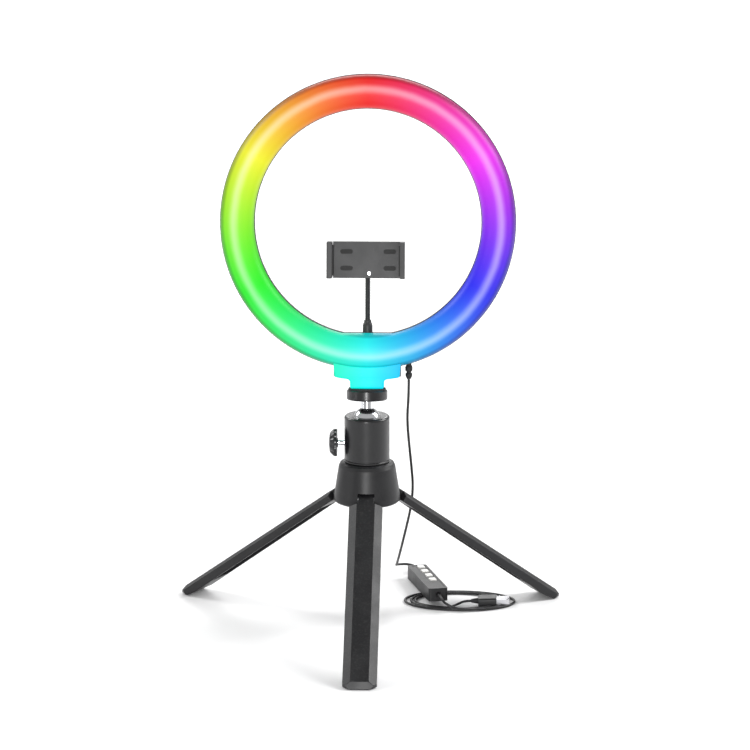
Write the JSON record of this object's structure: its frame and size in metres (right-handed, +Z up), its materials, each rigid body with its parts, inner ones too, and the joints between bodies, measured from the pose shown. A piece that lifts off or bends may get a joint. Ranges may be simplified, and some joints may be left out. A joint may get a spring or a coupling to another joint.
{
  "type": "desk ring light",
  "caption": "Ring-shaped LED light with a frosted colour diffuser on a lockable ball head and folding tripod, with a flexible-arm phone clamp and an in-line lead remote.",
  "frame": {"origin": "on the floor, on the tripod's vertical axis", "axes": "+Z up, -Y towards the lit side and the front leg, +X to the right as seen from the lit side"},
  "size_m": [0.3434, 0.3614, 0.4886],
  "materials": {
    "black_satin": "satin black",
    "black_shell": "fine matt moulding",
    "board_white": "solder mask",
    "brass": "turned",
    "button_white": "satin",
    "chrome": "polished",
    "clamp_grey": "satin",
    "contact_black": "plain",
    "frosted_diffuser": "frosted translucent, lit from inside",
    "hub_black": "satin moulded",
    "lead_jacket": "smooth flexible jacket",
    "led_yellow": "phosphor",
    "leg_black": "satin moulded",
    "remote_black": "fine texture",
    "rubber_black": "matt",
    "steel": "plain"
  },
  "bodies": {
    "stand": {"tripod_hub": "hub_black", "hub_cap": "hub_black", "leg_pins": "steel", "stack_stud": "steel", "housing_base": "black_satin", "head_housing": "black_satin", "lead_hanging": "lead_jacket", "lead_feed": "lead_jacket", "lead_tail": "lead_jacket", "lead_coil": "lead_jacket", "remote_base": "remote_black", "remote_lid": "remote_black", "remote_board": "board_white", "remote_switches": "contact_black", "remote_relief_in": "lead_jacket", "remote_relief_out": "lead_jacket", "plug_body": "lead_jacket", "plug_shell": "steel", "plug_tongue": "contact_black", "plug_relief": "lead_jacket"},
    "front_leg": {"leg_front": "leg_black", "foot_pad_front": "rubber_black"},
    "left_leg": {"leg_left": "leg_black", "foot_pad_left": "rubber_black"},
    "right_leg": {"leg_right": "leg_black", "foot_pad_right": "rubber_black"},
    "lock": {"lock_knob": "black_satin", "lock_screw": "chrome"},
    "cup": {"pressure_cup": "steel"},
    "ball": {"ball_stem": "chrome", "platform_disc": "black_satin", "platform_pad": "rubber_black", "mount_stud": "steel"},
    "ring_head": {"front_diffuser": "frosted_diffuser", "back_shell": "black_shell", "shell_screws": "steel", "led_board": "board_white", "led_chips": "led_yellow", "thread_insert": "brass", "cable_gland": "rubber_black", "arm_ferrule": "clamp_grey", "arm_nut": "steel", "arm_root": "clamp_grey"},
    "arm_1": {"arm_link_1": "clamp_grey"},
    "arm_2": {"arm_link_2": "clamp_grey"},
    "arm_3": {"arm_link_3": "clamp_grey"},
    "arm_tip": {"arm_tip_ball": "clamp_grey"},
    "clamp_swivel": {"clamp_socket": "clamp_grey", "clamp_collar": "clamp_grey"},
    "clamp": {"clamp_body": "clamp_grey", "clamp_grips": "rubber_black", "clamp_screw": "steel", "jaw_pad_fixed": "rubber_black", "clamp_spring": "steel"},
    "jaw": {"clamp_jaw": "clamp_grey", "jaw_pad_sliding": "rubber_black"},
    "key_1": {"button_1": "button_white"},
    "key_2": {"button_2": "button_white"},
    "key_3": {"button_3": "button_white"},
    "key_4": {"button_4": "button_white"}
  },
  "joints": [
    {"name": "front_leg_fold", "type": "hinge", "parent": "stand", "child": "front_leg", "pos_m": [0, -0.022, 0.121], "axis": [1, 0, 0], "range_deg": [0, 54.3]},
    {"name": "left_leg_fold", "type": "hinge", "parent": "stand", "child": "left_leg", "pos_m": [-0.01905, 0.011, 0.121], "axis": [-0.5, -0.866, 0], "range_deg": [0, 54.3]},
    {"name": "right_leg_fold", "type": "hinge", "parent": "stand", "child": "right_leg", "pos_m": [0.01905, 0.011, 0.121], "axis": [-0.5, 0.866, 0], "range_deg": [0, 54.3], "deforming": ["lead_tail", "lead_coil", "plug_body", "plug_shell", "plug_tongue", "plug_relief", "lead_feed", "remote_relief_out"]},
    {"name": "lock_knob_turn", "type": "hinge", "parent": "stand", "child": "lock", "pos_m": [-0.0255, 0, 0.1665], "axis": [-1, 0, 0], "range_deg": [0, 360]},
    {"name": "head_pan", "type": "hinge", "parent": "stand", "child": "cup", "pos_m": [0, 0, 0.1867], "axis": [0, 0, 1], "range_deg": [-60, 60], "deforming": ["lead_hanging"]},
    {"name": "head_tilt", "type": "hinge", "parent": "cup", "child": "ball", "pos_m": [0, 0, 0.1867], "axis": [1, 0, 0], "range_deg": [-24, 42], "deforming": ["lead_hanging"]},
    {"name": "ring_swivel", "type": "hinge", "parent": "ball", "child": "ring_head", "pos_m": [0, 0.00414, 0.2154], "axis": [0, 0.1426, 0.9898], "range_deg": [-45, 45], "deforming": ["lead_hanging"]},
    {"name": "arm_bend_1", "type": "hinge", "parent": "ring_head", "child": "arm_1", "pos_m": [0, 0.01979, 0.28195], "axis": [1, 0, 0], "range_deg": [-20, 20]},
    {"name": "arm_sway_2", "type": "hinge", "parent": "arm_1", "child": "arm_2", "pos_m": [0, 0.021, 0.29036], "axis": [0, -0.9898, 0.1426], "range_deg": [-15, 15]},
    {"name": "arm_bend_3", "type": "hinge", "parent": "arm_2", "child": "arm_3", "pos_m": [0, 0.02221, 0.29878], "axis": [1, 0, 0], "range_deg": [-20, 20]},
    {"name": "arm_sway_4", "type": "hinge", "parent": "arm_3", "child": "arm_tip", "pos_m": [0, 0.02343, 0.30719], "axis": [0, -0.9898, 0.1426], "range_deg": [-15, 15]},
    {"name": "clamp_tilt", "type": "hinge", "parent": "arm_tip", "child": "clamp_swivel", "pos_m": [0, 0.02548, 0.32144], "axis": [-1, 0, 0], "range_deg": [-25, 25]},
    {"name": "clamp_turn", "type": "hinge", "parent": "clamp_swivel", "child": "clamp", "pos_m": [0, 0.02625, 0.32679], "axis": [0, -0.9898, 0.1426], "range_deg": [0, 90]},
    {"name": "jaw_slide", "type": "slide", "parent": "clamp", "child": "jaw", "axis": [-1, 0, 0], "range_m": [0, 0.022], "stiffness_N_per_m": 200, "springref_m": -0.012, "deforming": ["clamp_spring"]},
    {"name": "key_1_press", "type": "slide", "parent": "stand", "child": "key_1", "axis": [0.0117, -0.0474, -0.9988], "range_m": [0, 0.0006], "stiffness_N_per_m": 800, "springref_m": -0.0004},
    {"name": "key_2_press", "type": "slide", "parent": "stand", "child": "key_2", "axis": [0.0117, -0.0474, -0.9988], "range_m": [0, 0.0006], "stiffness_N_per_m": 800, "springref_m": -0.0004},
    {"name": "key_3_press", "type": "slide", "parent": "stand", "child": "key_3", "axis": [0.0117, -0.0474, -0.9988], "range_m": [0, 0.0006], "stiffness_N_per_m": 800, "springref_m": -0.0004},
    {"name": "key_4_press", "type": "slide", "parent": "stand", "child": "key_4", "axis": [0.0117, -0.0474, -0.9988], "range_m": [0, 0.0006], "stiffness_N_per_m": 800, "springref_m": -0.0004}
  ]
}
